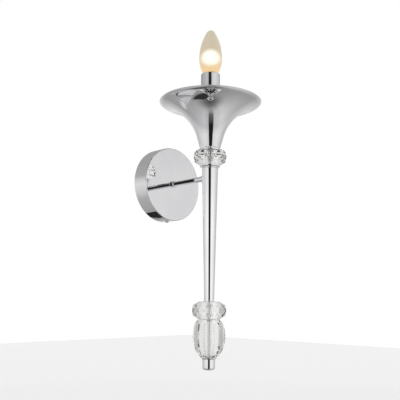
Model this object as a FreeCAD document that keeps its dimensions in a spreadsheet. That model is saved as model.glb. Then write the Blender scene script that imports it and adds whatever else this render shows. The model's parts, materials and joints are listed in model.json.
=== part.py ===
import FreeCAD, Part
import math
import os
import re

import Sketcher
from FreeCAD import Rotation, Vector

# Torch wall light: a round plate on the wall carries an arm, the arm carries a tapered stem, and the
# stem carries a trumpet with a candle lamp above and cut crystal beads below.
# Frame: the origin is the middle of the wall fixing on the wall, +Y runs into the wall, +Z is up.

SIZES = [
    ("clearance", 0.1, "between a turned piece and the bore that it sits in"),
    ("thread_gap", 0.05, "radial gap left where a thread would be"),
    ("seal_thickness", 0.6, "clear washer on each side of a crystal"),
    ("stem_reach", 104.2, "wall to the axis of the stem"),
    # Round wall plate
    ("rose_diameter", 115, "outside of the wall plate"),
    ("rose_depth", 26, "wall to the front of the plate"),
    ("rose_wall", 1.2, "sheet of the plate"),
    ("rose_inner_round", 0.4, "inside radius of the plate's front edge"),
    ("screw_setback", 13, "front of the plate to the side screws"),
    ("screw_diameter", 4, "side screw"),
    ("screw_head_radius", 3.6, "side screw head"),
    ("screw_head_height", 2.3, "side screw head"),
    ("screw_length", 9, "side screw under its head"),
    ("screw_slot", 0.9, "width of a driver slot"),
    # Strap on the wall
    ("strap_width", 18, "fixing strap"),
    ("strap_thickness", 1.5, "fixing strap"),
    ("strap_inner_bend", 1.0, "inside radius of the strap's bends"),
    ("ear_gap", 0.3, "corner of a strap ear to the inside of the plate"),
    ("ear_tip", 7, "side screw to the end of its ear"),
    ("slot_width", 4.5, "wall fixing slot"),
    ("slot_length", 14, "wall fixing slot, end to end"),
    ("slot_spacing", 76, "between the middles of the two wall slots"),
    ("cable_hole", 12, "cable hole in the strap"),
    ("bush_bore", 8, "cable bush, inside"),
    ("bush_flange", 16, "cable bush, flange diameter"),
    ("bush_flange_thickness", 2, "cable bush, flange"),
    ("earth_height", 17, "earth screw above the middle of the strap"),
    ("earth_screw_diameter", 4, "earth screw"),
    ("earth_head_radius", 3.4, "earth screw head"),
    ("earth_head_height", 2.4, "earth screw head"),
    # Terminal block
    ("block_drop", 20, "middle of the terminal block below the middle of the strap"),
    ("block_width", 22, "terminal block, across the poles"),
    ("block_height", 15, "terminal block, along the wires"),
    ("block_depth", 13, "terminal block, off the strap"),
    ("pole_spacing", 12, "between the two poles"),
    ("insert_radius", 2.4, "brass insert, outside"),
    ("insert_bore", 1.5, "brass insert, bore radius"),
    ("clamp_radius", 1.3, "terminal screw"),
    ("clamp_head_radius", 1.9, "terminal screw head"),
    ("clamp_offset", 4, "terminal screw from the middle of the block"),
    ("block_screw_radius", 1.5, "screw that holds the block on the strap"),
    # Arm
    ("arm_diameter", 8, "arm tube"),
    ("arm_bore", 6, "arm tube, inside"),
    ("arm_tail", 2.2, "arm end past its nut, inside the plate"),
    ("collar_radius", 5.6, "collar between the arm and the plate"),
    ("collar_length", 4, "collar along the arm"),
    ("collar_round", 1.2, "collar edge"),
    ("saddle_radius", 4.9, "ferrule where the arm meets the stem"),
    ("saddle_length", 4, "ferrule along the arm"),
    ("arm_washer_radius", 8, "washer behind the plate"),
    ("arm_washer_thickness", 1, "washer behind the plate"),
    ("arm_nut_flats", 13, "nut on the arm, across flats"),
    ("arm_nut_height", 4, "nut on the arm"),
    ("tag_thickness", 0.8, "earth tag sheet"),
    ("tag_ring", 2.9, "width of an earth tag's ring"),
    ("barrel_radius", 1.9, "earth tag barrel, outside"),
    ("barrel_bore", 1.2, "earth tag barrel, bore radius"),
    ("barrel_length", 7, "earth tag barrel"),
    ("tag_neck", 1.4, "ring of an earth tag to its barrel"),
    # Stem
    ("stem_length", 192, "tapered stem tube"),
    ("stem_top_diameter", 24.2, "stem at its top"),
    ("stem_bottom_diameter", 14.4, "stem at its bottom"),
    ("stem_wall", 0.9, "stem tube wall"),
    ("stem_top_height", 13.4, "arm axis to the top edge of the stem"),
    ("ring_radius", 12.9, "ring under the stem's flange"),
    ("ring_height", 3, "ring under the stem's flange"),
    ("flange_radius", 15, "flange under the upper bead"),
    ("flange_height", 1.8, "flange under the upper bead"),
    ("spigot_depth", 23, "turned head inside the stem"),
    ("head_sump", 6, "wire chamber below the arm axis"),
    ("tube_seat", 4.6, "arm axis to the bottom of the centre tube"),
    ("foot_radius", 6.7, "ring under the stem"),
    ("foot_height", 1.8, "ring under the stem"),
    ("foot_spigot", 12, "stem foot inside the stem"),
    # Centre tube and its nuts
    ("tube_diameter", 10, "threaded centre tube"),
    ("tube_bore", 8, "centre tube, inside"),
    ("tube_nut_flats", 14, "nut on the centre tube, across flats"),
    ("tube_nut_height", 4, "nut on the centre tube"),
    # Crystal beads
    ("bead_sides", 12, "facets round a bead"),
    ("bead_bore", 11, "hole through the upper bead"),
    ("rondelle_diameter", 50, "upper and lower round bead"),
    ("rondelle_height", 25, "upper and lower round bead"),
    ("rondelle_table", 30, "flat end of a round bead"),
    ("rondelle_shoulder", 5, "round bead, height of its end facets"),
    ("rondelle_shoulder_diameter", 46.4, "round bead at the corners over its end facets"),
    ("seal_radius", 9, "clear washer"),
    ("drop_bore", 7.4, "hole through the lower beads"),
    ("oval_height", 54, "oval bead"),
    ("oval_top_diameter", 33.6, "oval bead, flat top"),
    ("oval_bottom_diameter", 20.6, "oval bead, flat bottom"),
    ("oval_diameter", 47.4, "oval bead at its widest"),
    ("oval_crown", 6, "oval bead, triangle facets at the top"),
    ("oval_crown_diameter", 42.2, "oval bead under its top triangles"),
    ("oval_belly", 24, "oval bead, top to its widest part"),
    ("oval_waist", 36.5, "oval bead, top to its lower corner"),
    ("oval_waist_diameter", 43.2, "oval bead at its lower corner"),
    ("oval_taper", 46.5, "oval bead, top to its bottom triangles"),
    ("oval_taper_diameter", 33.0, "oval bead over its bottom triangles"),
    ("rod_diameter", 6, "tie rod through the lower beads"),
    ("finial_radius", 9, "finial"),
    ("finial_height", 14.8, "finial"),
    ("finial_lip", 0.5, "finial top ring, over its body"),
    ("finial_lip_height", 1.4, "finial top ring"),
    ("finial_round", 3.4, "finial bottom edge"),
    ("finial_thread", 10.5, "finial, depth of its hole"),
    # Trumpet
    ("trumpet_diameter", 153.5, "mouth of the trumpet"),
    ("trumpet_wall", 1.2, "spun sheet of the trumpet"),
    ("trumpet_floor", 1.6, "floor of the trumpet"),
    ("throat_radius", 15.1, "bottom of the trumpet"),
    ("throat_length", 18.8, "straight part of the trumpet"),
    ("throat_lean", 15.7, "straight part of the trumpet, degrees off upright"),
    ("mouth_slope", 14, "flare where it meets the lip, degrees off level"),
    ("lip_radius", 10, "turned up lip"),
    ("lip_slope", 52, "edge of the lip, degrees off level"),
    # Candle and lamp holder
    ("seat_rise", 32, "bottom of the trumpet to the candle seat"),
    ("seat_radius", 16.5, "candle seat"),
    ("seat_thickness", 1.2, "candle seat"),
    ("seat_lip_height", 4, "candle seat, ring inside the sleeve"),
    ("sleeve_diameter", 29, "candle sleeve"),
    ("sleeve_wall", 1, "candle sleeve"),
    ("sleeve_length", 85, "candle sleeve"),
    ("holder_rise", 22, "candle seat to the bottom of the lamp holder"),
    ("holder_radius", 12.2, "lamp holder"),
    ("holder_length", 57, "lamp holder"),
    ("holder_floor", 10, "threaded floor of the lamp holder"),
    ("holder_wall", 1.8, "lamp holder wall"),
    ("holder_ledge", 26, "lamp holder bottom to the ledge of its insert"),
    ("holder_ledge_width", 0.9, "ledge under the insert"),
    ("tube_engagement", 8, "centre tube inside the lamp holder"),
    ("puck_height", 5, "lamp holder insert"),
    ("shell_bore", 14.4, "threaded lamp contact, inside"),
    ("shell_wall", 0.4, "threaded lamp contact"),
    ("shell_flange_radius", 9.4, "threaded lamp contact, flange"),
    ("shell_height", 24, "threaded lamp contact"),
    ("tongue_rise", 2.8, "spring tongue over the insert"),
    ("tongue_width", 4, "spring tongue"),
    ("tongue_thickness", 0.5, "spring tongue"),
    ("tongue_length", 10, "spring tongue"),
    ("post_offset", 6.2, "lamp holder terminal from the axis"),
    ("post_width", 5, "lamp holder terminal"),
    ("post_height", 6.5, "lamp holder terminal"),
    # Lamp
    ("lamp_gap", 0.1, "lamp contact over the spring tongue"),
    ("lamp_diameter", 35, "glass of the lamp"),
    ("lamp_length", 98, "lamp, end to end"),
    ("lamp_belly", 52, "lamp contact to the widest part of the glass"),
    ("lamp_upper_bow", 85, "side radius of the glass above its widest part"),
    ("lamp_lower_bow", 47, "side radius of the glass below its widest part"),
    ("glass_wall", 0.8, "lamp glass"),
    ("cap_radius", 6.9, "lamp cap"),
    ("cap_wall", 0.4, "lamp cap"),
    ("cap_bottom", 3.2, "lamp contact to the cap"),
    ("cap_top", 23.5, "lamp contact to the top of the cap"),
    ("tip_radius", 2.5, "lamp contact button"),
    ("tip_height", 1, "lamp contact button"),
    ("mount_height", 20, "glass post inside the lamp"),
    ("mount_tip_radius", 1.6, "glass post, top"),
    ("lead_radius", 0.3, "filament and its leads"),
    ("lead_spread", 6, "half the width of the filament"),
    ("lead_rise", 14, "leads over the glass post"),
    ("lead_bend", 1, "filament and its leads, bend radius"),
    # Wires
    ("wire_radius", 1, "lamp wire"),
    ("wire_offset", 1.25, "lamp wire from the middle of its tube"),
    ("wire_entry", 6, "wire inside a terminal"),
    ("wire_bend", 3, "lamp wire, bend radius"),
    ("earth_wire_radius", 1.1, "earth wire"),
]

PLACES = [
    ("rose_radius", "rose_diameter / 2"),
    ("rose_inner_radius", "rose_radius - rose_wall"),
    ("rose_round", "rose_inner_round + rose_wall"),
    ("rose_back", "rose_depth - rose_wall"),
    ("screw_line", "rose_depth - screw_setback"),
    ("arm_hole", "arm_diameter / 2 + clearance"),
    ("strap_bend", "strap_inner_bend + strap_thickness"),
    ("ear_reach", "sqrt(rose_inner_radius ^ 2 - (strap_width / 2) ^ 2) - ear_gap"),
    ("ear_inside", "ear_reach - strap_thickness"),
    ("ear_length", "screw_line + ear_tip"),
    ("tag_plane", "rose_back - arm_washer_thickness"),
    ("nut_plane", "tag_plane - tag_thickness"),
    ("arm_inner_end", "nut_plane - arm_nut_height - arm_tail"),
    ("arm_outer_end", "stem_reach - tube_bore / 2 - 2 * clearance"),
    ("stem_bottom", "stem_top_height - stem_length"),
    ("stem_taper", "(stem_top_diameter - stem_bottom_diameter) / 2 / stem_length"),
    ("stem_at_arm", "stem_top_diameter / 2 - stem_top_height * stem_taper"),
    ("spigot_bottom", "stem_top_height - spigot_depth"),
    ("spigot_radius", "stem_top_diameter / 2 - spigot_depth * stem_taper - stem_wall - clearance"),
    ("flange_bottom", "stem_top_height + ring_height"),
    ("flange_top", "flange_bottom + flange_height"),
    ("tube_radius", "tube_diameter / 2"),
    ("tube_hole", "tube_radius + thread_gap"),
    ("upper_bead_bottom", "flange_top + seal_thickness"),
    ("upper_bead_top", "upper_bead_bottom + rondelle_height"),
    ("trumpet_bottom", "upper_bead_top + seal_thickness"),
    ("floor_top", "trumpet_bottom + trumpet_floor"),
    ("seat_bottom", "trumpet_bottom + seat_rise"),
    ("seat_top", "seat_bottom + seat_thickness"),
    ("sleeve_top", "seat_top + sleeve_length"),
    ("holder_bottom", "seat_top + holder_rise"),
    ("puck_bottom", "holder_bottom + holder_ledge"),
    ("puck_top", "puck_bottom + puck_height"),
    ("tube_top", "holder_bottom + tube_engagement"),
    ("lamp_bottom", "puck_top + tongue_rise + lamp_gap"),
    ("holder_bore", "holder_radius - holder_wall"),
    ("cone_radius", "throat_radius + throat_length * sin(throat_lean)"),
    ("cone_height", "throat_length * cos(throat_lean)"),
    ("lip_width", "lip_radius * (sin(lip_slope) - sin(mouth_slope))"),
    ("lip_height", "lip_radius * (cos(mouth_slope) - cos(lip_slope))"),
    ("flare_rim", "trumpet_diameter / 2 - lip_width"),
    ("flare_radius", "(flare_rim - cone_radius) / (cos(throat_lean) - sin(mouth_slope))"),
    ("flare_height", "cone_height + flare_radius * (cos(mouth_slope) - sin(throat_lean))"),
    ("rim_height", "flare_height + lip_height"),
    ("foot_bottom", "stem_bottom - foot_height"),
    ("lower_bead_top", "foot_bottom - seal_thickness"),
    ("lower_bead_bottom", "lower_bead_top - rondelle_height"),
    ("oval_top", "lower_bead_bottom - seal_thickness"),
    ("oval_bottom", "oval_top - oval_height"),
    ("finial_top", "oval_bottom - seal_thickness"),
    ("rod_bottom", "finial_top - finial_thread + clearance"),
    ("rod_length", "stem_bottom + foot_spigot - rod_bottom"),
    ("rod_hole", "rod_diameter / 2 + thread_gap"),
    ("lamp_radius", "lamp_diameter / 2"),
    ("lamp_rise", "lamp_length - lamp_belly"),
    ("bow_centre", "lamp_upper_bow - lamp_radius"),
    ("tip_bow", "(lamp_upper_bow ^ 2 - bow_centre ^ 2 - lamp_rise ^ 2) / 2 / (lamp_upper_bow - lamp_rise)"),
    ("tip_share", "lamp_upper_bow / (lamp_upper_bow - tip_bow)"),
    ("tip_edge", "bow_centre * tip_share - bow_centre"),
    ("tip_base", "lamp_belly + (lamp_rise - tip_bow) * tip_share"),
    ("inner_share", "(lamp_upper_bow - glass_wall) / (lamp_upper_bow - tip_bow)"),
    ("inner_edge", "bow_centre * inner_share - bow_centre"),
    ("inner_base", "lamp_belly + (lamp_rise - tip_bow) * inner_share"),
    ("neck_radius", "cap_radius - cap_wall - clearance"),
    ("neck_top", "cap_top + clearance"),
    ("bowl_start", "neck_top + glass_wall"),
    ("bowl_drop", "lamp_belly - bowl_start"),
    ("bowl_radius", "lamp_radius - lamp_lower_bow + sqrt(lamp_lower_bow ^ 2 - bowl_drop ^ 2)"),
    ("bowl_inner", "lamp_radius - lamp_lower_bow + sqrt((lamp_lower_bow - glass_wall) ^ 2 - bowl_drop ^ 2)"),
    ("neck_bottom", "cap_top - 7"),
    ("block_front", "strap_thickness + block_depth"),
    ("pole_depth", "strap_thickness + block_depth / 2"),
    ("block_top", "block_height / 2 - block_drop"),
]

doc = FreeCAD.newDocument("torch_wall_light")
sizes = doc.addObject("Spreadsheet::Sheet", "Sizes")
places = doc.addObject("Spreadsheet::Sheet", "Places")
workings = doc.addObject("Spreadsheet::Sheet", "Workings")
SIZE_NAMES = {name for name, _, _ in SIZES}
PLACE_NAMES = {name for name, _ in PLACES}
PARTS = []


def qualify(formula, in_places=False):
    """The formula with each name written as a cell of its sheet."""
    def owner(match):
        name = match.group(0)
        if name in SIZE_NAMES:
            return "Sizes." + name
        if name in PLACE_NAMES and not in_places:
            return "Places." + name
        return name
    return re.sub(r"[A-Za-z_]\w*", owner, str(formula))


def fill_sheets():
    for row, (name, value, note) in enumerate(SIZES, start=1):
        sizes.set(f"A{row}", note)
        sizes.set(f"B{row}", str(value))
        sizes.setAlias(f"B{row}", name)
    for row, (name, formula) in enumerate(PLACES, start=1):
        places.setAlias(f"B{row}", name)
        places.set(f"A{row}", name)
    for row, (name, formula) in enumerate(PLACES, start=1):
        places.set(f"B{row}", "=" + qualify(formula, in_places=True))
    doc.recompute()


def number(formula):
    """The value of a formula in millimetres or degrees."""
    workings.set("A1", "=" + qualify(formula))
    workings.recompute()
    return float(workings.get("A1"))


def spot(x, y, z):
    return Vector(number(x), number(y), number(z))


def bind(obj, **formulas):
    for name, formula in formulas.items():
        obj.setExpression(name, qualify(formula))
    return obj


UPRIGHT = Rotation()
TO_ROOM = Rotation(Vector(1, 0, 0), 90)      # the piece's own Z points away from the wall
TO_WALL = Rotation(Vector(1, 0, 0), -90)     # the piece's own Z points at the wall
ON_STEM = "-stem_reach"


def place(obj, x="0", y="0", z="0", turn=UPRIGHT):
    obj.Placement = FreeCAD.Placement(Vector(), turn)
    for axis, formula in (("x", x), ("y", y), ("z", z)):
        if formula != "0":
            obj.setExpression(".Placement.Base." + axis, qualify(formula))
    return obj


def keep(obj, label):
    """Mark an object as a finished piece with its own file."""
    obj.Label = label
    PARTS.append(obj)
    return obj


def pin_point(sketch, geometry, end, x, y):
    """Hold one point of a sketch at two sheet formulas."""
    for kind, axis, formula in (("DistanceX", -2, x), ("DistanceY", -1, y)):
        if formula == "0":
            sketch.addConstraint(Sketcher.Constraint("PointOnObject", geometry, end, axis))
            continue
        held = Sketcher.Constraint(kind, -1, 1, geometry, end, number(formula))
        sketch.setExpression(f"Constraints[{sketch.addConstraint(held)}]", qualify(formula))


def arc_centre(start, end, radius):
    """Centre of an arc: to the left of the way from start to end for a positive radius."""
    chord = end - start
    reach = math.sqrt(max(radius * radius - chord.Length ** 2 / 4, 0))
    left = Vector(-chord.y, chord.x, 0).normalize()
    return (start + end) * 0.5 + left * math.copysign(reach, radius)


def outline(body, name, plane, corners):
    """A closed sketch through corners (x, y) or (x, y, radius): the radius bends the edge that follows.

    A radius formula that starts with "-" turns right, any other turns left.
    """
    sketch = body.newObject("Sketcher::SketchObject", name)
    side = [f for f in body.Origin.OriginFeatures if f.Role == plane][0]
    sketch.AttachmentSupport = [(side, "")]
    sketch.MapMode = "FlatFace"
    spots = [Vector(number(c[0]), number(c[1]), 0) for c in corners]
    ends = []
    for index, corner in enumerate(corners):
        start, end = spots[index], spots[(index + 1) % len(spots)]
        if len(corner) == 2:
            sketch.addGeometry(Part.LineSegment(start, end), False)
            ends.append((1, 2))
            continue
        radius = number(corner[2])
        centre = arc_centre(start, end, radius)
        angles = [math.atan2(p.y - centre.y, p.x - centre.x) for p in (start, end)]
        if radius < 0:
            angles.reverse()
        circle = Part.Circle(centre, Vector(0, 0, 1), abs(radius))
        sketch.addGeometry(Part.ArcOfCircle(circle, angles[0], angles[1]), False)
        ends.append((1, 2) if radius > 0 else (2, 1))
    for index, corner in enumerate(corners):
        after = (index + 1) % len(corners)
        sketch.addConstraint(
            Sketcher.Constraint("Coincident", index, ends[index][1], after, ends[after][0]))
        pin_point(sketch, index, ends[index][0], corner[0], corner[1])
        if len(corner) == 3:
            formula = corner[2].lstrip("-")
            bend = Sketcher.Constraint("Radius", index, number(formula))
            sketch.setExpression(f"Constraints[{sketch.addConstraint(bend)}]", qualify(formula))
    return sketch


def add_circle(sketch, x, y, radius):
    index = sketch.addGeometry(Part.Circle(spot(x, y, "0"), Vector(0, 0, 1), number(radius)), False)
    pin_point(sketch, index, 3, x, y)
    held = sketch.addConstraint(Sketcher.Constraint("Radius", index, number(radius)))
    sketch.setExpression(f"Constraints[{held}]", qualify(radius))


def turned(name, corners, **where):
    """A turned piece: an outline of (radius, height) corners spun about its own Z."""
    body = doc.addObject("PartDesign::Body", name)
    sketch = outline(body, name + "_outline", "XZ_Plane", corners)
    spin = body.newObject("PartDesign::Revolution", name + "_spin")
    spin.Profile = sketch
    spin.ReferenceAxis = (sketch, ["V_Axis"])
    spin.Angle = 360
    return place(body, **where)


def tube(outer, inner, bottom, top):
    return [(outer, bottom), (outer, top), (inner, top), (inner, bottom)]


def pocket(body, name, plane, circles, both_ways=True, reverse=False):
    """Round holes cut square to one of the body's planes, with a check that they remove material."""
    doc.recompute()
    before = body.Shape.Volume
    sketch = body.newObject("Sketcher::SketchObject", name + "_sketch")
    side = [f for f in body.Origin.OriginFeatures if f.Role == plane][0]
    sketch.AttachmentSupport = [(side, "")]
    sketch.MapMode = "FlatFace"
    for circle in circles:
        add_circle(sketch, *circle)
    cut = body.newObject("PartDesign::Pocket", name)
    cut.Profile = sketch
    cut.Type = "ThroughAll"
    cut.Midplane = both_ways
    cut.Reversed = reverse
    doc.recompute()
    if not body.Shape.Volume < before:
        raise RuntimeError(f"{name} cuts nothing")


def cylinder(name, radius, height, **where):
    return place(bind(doc.addObject("Part::Cylinder", name), Radius=radius, Height=height), **where)


def box(name, length, width, height, **where):
    solid = bind(doc.addObject("Part::Box", name), Length=length, Width=width, Height=height)
    return place(solid, **where)


def cut_from(name, base, tools):
    joined = tools[0]
    if len(tools) > 1:
        joined = doc.addObject("Part::MultiFuse", name + "_holes")
        joined.Shapes = tools
    result = doc.addObject("Part::Cut", name)
    result.Base = base
    result.Tool = joined
    return result


def group(label, pieces):
    """Identical loose pieces that share one file."""
    together = doc.addObject("Part::Compound", label)
    together.Links = pieces
    return keep(together, label)


def nut(name, flats, height, bore, **where):
    blank = doc.addObject("Part::Prism", name + "_blank")
    blank.Polygon = 6
    bind(blank, Circumradius=f"{flats} / 2 / cos(30)", Height=height)
    return place(cut_from(name, blank, [cylinder(name + "_hole", bore, height)]), **where)


def dome_screw(name, radius, length, head_radius, head_height, slot, **where):
    """A screw with a domed, slotted head: its own Z points out of the head."""
    dome = f"({head_radius} ^ 2 + {head_height} ^ 2) / 2 / {head_height}"
    body = turned(name + "_blank", [
        ("0", f"-({length})"), (radius, f"-({length})"), (radius, "0"), (head_radius, "0", dome),
        ("0", head_height)])
    groove = box(name + "_groove", f"2 * {head_radius}", slot, head_height,
                 x=f"-{head_radius}", y=f"-{slot} / 2", z=f"{head_height} / 2")
    return place(cut_from(name, body, [groove]), **where)


def make_rose():
    """Round cup on the wall, with a hole for the arm and one for a screw above and below."""
    front = "rose_depth"
    corner = "rose_depth - rose_round"
    body = turned("rose", [
        ("arm_hole", "rose_back"), ("arm_hole", front),
        ("rose_radius - rose_round", front, "-rose_round"), ("rose_radius", corner),
        ("rose_radius", "0"), ("rose_inner_radius", "0"), ("rose_inner_radius", corner, "rose_inner_round"),
        ("rose_radius - rose_round", "rose_back")], turn=TO_ROOM)
    pocket(body, "rose_screw_holes", "XZ_Plane", [("0", "screw_line", "screw_diameter / 2 + clearance")])
    keep(body, "rose")
    screws = []
    for name, angle, side in (("upper", -90, "1"), ("lower", 90, "-1")):
        screws.append(dome_screw(
            name + "_rose_screw", "screw_diameter / 2", "screw_length", "screw_head_radius",
            "screw_head_height", "screw_slot", y="-screw_line", z=side + " * rose_radius",
            turn=Rotation(Vector(1, 0, 0), 0 if side == "1" else 180)))
    group("rose_screws", screws)


def make_strap():
    """Bent strap on the wall: two slots, a cable hole, and an ear at each end for a side screw."""
    body = doc.addObject("PartDesign::Body", "fixing_strap")
    knee = "ear_reach - strap_bend"
    side = outline(body, "strap_side", "YZ_Plane", [
        ("-ear_length", "ear_reach"), ("-strap_bend", "ear_reach", "-strap_bend"),
        ("0", knee), ("0", f"-({knee})", "-strap_bend"),
        ("-strap_bend", "-ear_reach"), ("-ear_length", "-ear_reach"),
        ("-ear_length", "-ear_inside"), ("-strap_bend", "-ear_inside", "strap_inner_bend"),
        ("-strap_thickness", f"-({knee})"), ("-strap_thickness", knee, "strap_inner_bend"),
        ("-strap_bend", "ear_inside"), ("-ear_length", "ear_inside")])
    pad = body.newObject("PartDesign::Pad", "strap_sheet")
    pad.Profile = side
    pad.Midplane = True
    bind(pad, Length="strap_width")
    pocket(body, "strap_ear_holes", "XY_Plane", [("0", "-screw_line", "screw_diameter / 2 + thread_gap")])
    pocket(body, "strap_round_holes", "XZ_Plane", [
        ("0", "0", "cable_hole / 2"), ("0", "earth_height", "earth_screw_diameter / 2 + thread_gap"),
        ("0", "-block_drop", "block_screw_radius + thread_gap")])
    doc.recompute()
    half = "slot_width / 2"
    reach = "(slot_length - slot_width) / 2"
    for name, side_sign in (("upper", ""), ("lower", "-")):
        low = f"{side_sign}slot_spacing / 2 - {reach}"
        high = f"{side_sign}slot_spacing / 2 + {reach}"
        slot = outline(body, name + "_slot_outline", "XZ_Plane", [
            (half, low), (half, high, half), ("0", f"{high} + {half}", half), (f"-{half}", high),
            (f"-{half}", low, half), ("0", f"{low} - {half}", half)])
        cut = body.newObject("PartDesign::Pocket", name + "_slot")
        cut.Profile = slot
        cut.Type = "ThroughAll"
        cut.Midplane = True
    keep(body, "wall_strap")


def make_cable_bush():
    body = turned("bush", [
        ("bush_bore / 2", "0"), ("cable_hole / 2 - clearance", "0"),
        ("cable_hole / 2 - clearance", "strap_thickness"), ("bush_flange / 2", "strap_thickness"),
        ("bush_flange / 2", "strap_thickness + bush_flange_thickness"),
        ("bush_bore / 2", "strap_thickness + bush_flange_thickness")], turn=TO_ROOM)
    keep(body, "cable_bush")


def make_terminal_block():
    """Two-pole block on the strap: a moulding, two brass inserts, four clamp screws and its own screw."""
    blank = box("block_blank", "block_width", "block_depth", "block_height",
                x="-block_width / 2", y="-block_front", z="-block_drop - block_height / 2")
    holes = []
    inserts = []
    clamps = []
    for side, sign in (("live", "-"), ("neutral", "")):
        pole = f"{sign}pole_spacing / 2"
        bottom = "-block_drop - block_height / 2"
        holes.append(cylinder(side + "_way", "insert_radius + thread_gap", "block_height",
                              x=pole, y="-pole_depth", z=bottom))
        solid = cylinder(side + "_brass", "insert_radius", "block_height", x=pole, y="-pole_depth", z=bottom)
        bores = [cylinder(side + "_bore", "insert_bore", "block_height", x=pole, y="-pole_depth", z=bottom)]
        for end, step in (("lamp", "+"), ("supply", "-")):
            level = f"-block_drop {step} clamp_offset"
            name = f"{side}_{end}"
            holes.append(cylinder(name + "_shaft", "clamp_head_radius + clearance", "block_depth / 2",
                                  x=pole, y="-pole_depth", z=level, turn=TO_ROOM))
            bores.append(cylinder(name + "_tapping", "clamp_radius + thread_gap", "block_depth / 2",
                                  x=pole, y="-pole_depth", z=level, turn=TO_ROOM))
            clamps.append(dome_screw(
                name + "_clamp", "clamp_radius", "insert_radius - wire_radius - clearance",
                "clamp_head_radius", "clamp_radius", "screw_slot / 2",
                x=pole, y="-pole_depth - insert_radius - thread_gap", z=level, turn=TO_ROOM))
        inserts.append(cut_from(side + "_insert", solid, bores))
    holes.append(cylinder("block_screw_way", "block_screw_radius + clearance", "block_depth",
                          y="-strap_thickness", z="-block_drop", turn=TO_ROOM))
    keep(cut_from("block_moulding", blank, holes), "terminal_block")
    group("terminal_inserts", inserts)
    group("terminal_screws", clamps)
    screw = dome_screw("block_fixing", "block_screw_radius", "block_depth + strap_thickness - clearance",
                       "2 * block_screw_radius", "block_screw_radius", "screw_slot",
                       y="-block_front", z="-block_drop", turn=TO_ROOM)
    keep(screw, "block_screw")


def make_tag(label, hole, **where):
    """Ring tag with a crimp barrel: the ring lies on its own Z = 0 and the barrel runs along its own X."""
    ring = f"({hole} + tag_ring)"
    start = f"{ring} + tag_neck"
    parts = [
        cylinder(label + "_ring", ring, "tag_thickness"),
        box(label + "_tongue", f"{start} + barrel_length / 2", "2 * barrel_bore", "tag_thickness",
            y="-barrel_bore"),
        cylinder(label + "_barrel", "barrel_radius", "barrel_length", x=start, z="barrel_radius",
                 turn=Rotation(Vector(0, 1, 0), 90))]
    solid = doc.addObject("Part::MultiFuse", label + "_solid")
    solid.Shapes = parts
    holes = [
        cylinder(label + "_hole", hole, "tag_thickness"),
        cylinder(label + "_way", "barrel_bore", "barrel_length", x=start, z="barrel_radius",
                 turn=Rotation(Vector(0, 1, 0), 90))]
    keep(place(cut_from(label, solid, holes), **where), label)


def make_earthing():
    make_tag("arm_earth_tag", "arm_hole", y="-tag_plane", turn=TO_WALL)
    make_tag("strap_earth_tag", "earth_screw_diameter / 2 + clearance",
             y="-strap_thickness", z="earth_height", turn=TO_ROOM)
    screw = dome_screw("earthing", "earth_screw_diameter / 2", "strap_thickness + tag_thickness",
                       "earth_head_radius", "earth_head_height", "screw_slot",
                       y="-strap_thickness - tag_thickness", z="earth_height", turn=TO_ROOM)
    keep(screw, "earth_screw")


def make_arm():
    """Arm tube with its collar, ferrule, washer and nut."""
    arm = turned("arm", tube("arm_diameter / 2", "arm_bore / 2", "arm_inner_end", "arm_outer_end"),
                 turn=TO_ROOM)
    keep(arm, "arm_tube")
    edge = "collar_radius - collar_round"
    rear = "rose_depth"
    front = "rose_depth + collar_length"
    collar = turned("collar", [
        ("arm_hole", rear), ("collar_radius", rear),
        ("collar_radius", f"{front} - collar_round", "collar_round"),
        (edge, front), ("arm_hole", front)], turn=TO_ROOM)
    keep(collar, "arm_collar")
    start = "stem_reach - stem_at_arm - saddle_length"
    ring = cylinder("ferrule_blank", "saddle_radius", "saddle_length + stem_at_arm / 2",
                    y=f"-({start})", turn=TO_ROOM)
    bore = cylinder("ferrule_bore", "arm_hole", "saddle_length + stem_at_arm", y=f"-({start})", turn=TO_ROOM)
    cone = bind(doc.addObject("Part::Cone", "ferrule_seat"),
                Radius1="stem_bottom_diameter / 2 + clearance", Radius2="stem_top_diameter / 2 + clearance",
                Height="stem_length")
    place(cone, y=ON_STEM, z="stem_bottom")
    keep(cut_from("ferrule", ring, [bore, cone]), "arm_ferrule")
    washer = turned("arm_plain_washer",
                    tube("arm_washer_radius", "arm_hole", "tag_plane", "rose_back"), turn=TO_ROOM)
    keep(washer, "arm_washer")
    keep(nut("arm_hex", "arm_nut_flats", "arm_nut_height", "arm_diameter / 2 + thread_gap",
             y="-nut_plane", turn=TO_WALL), "arm_nut")


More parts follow.
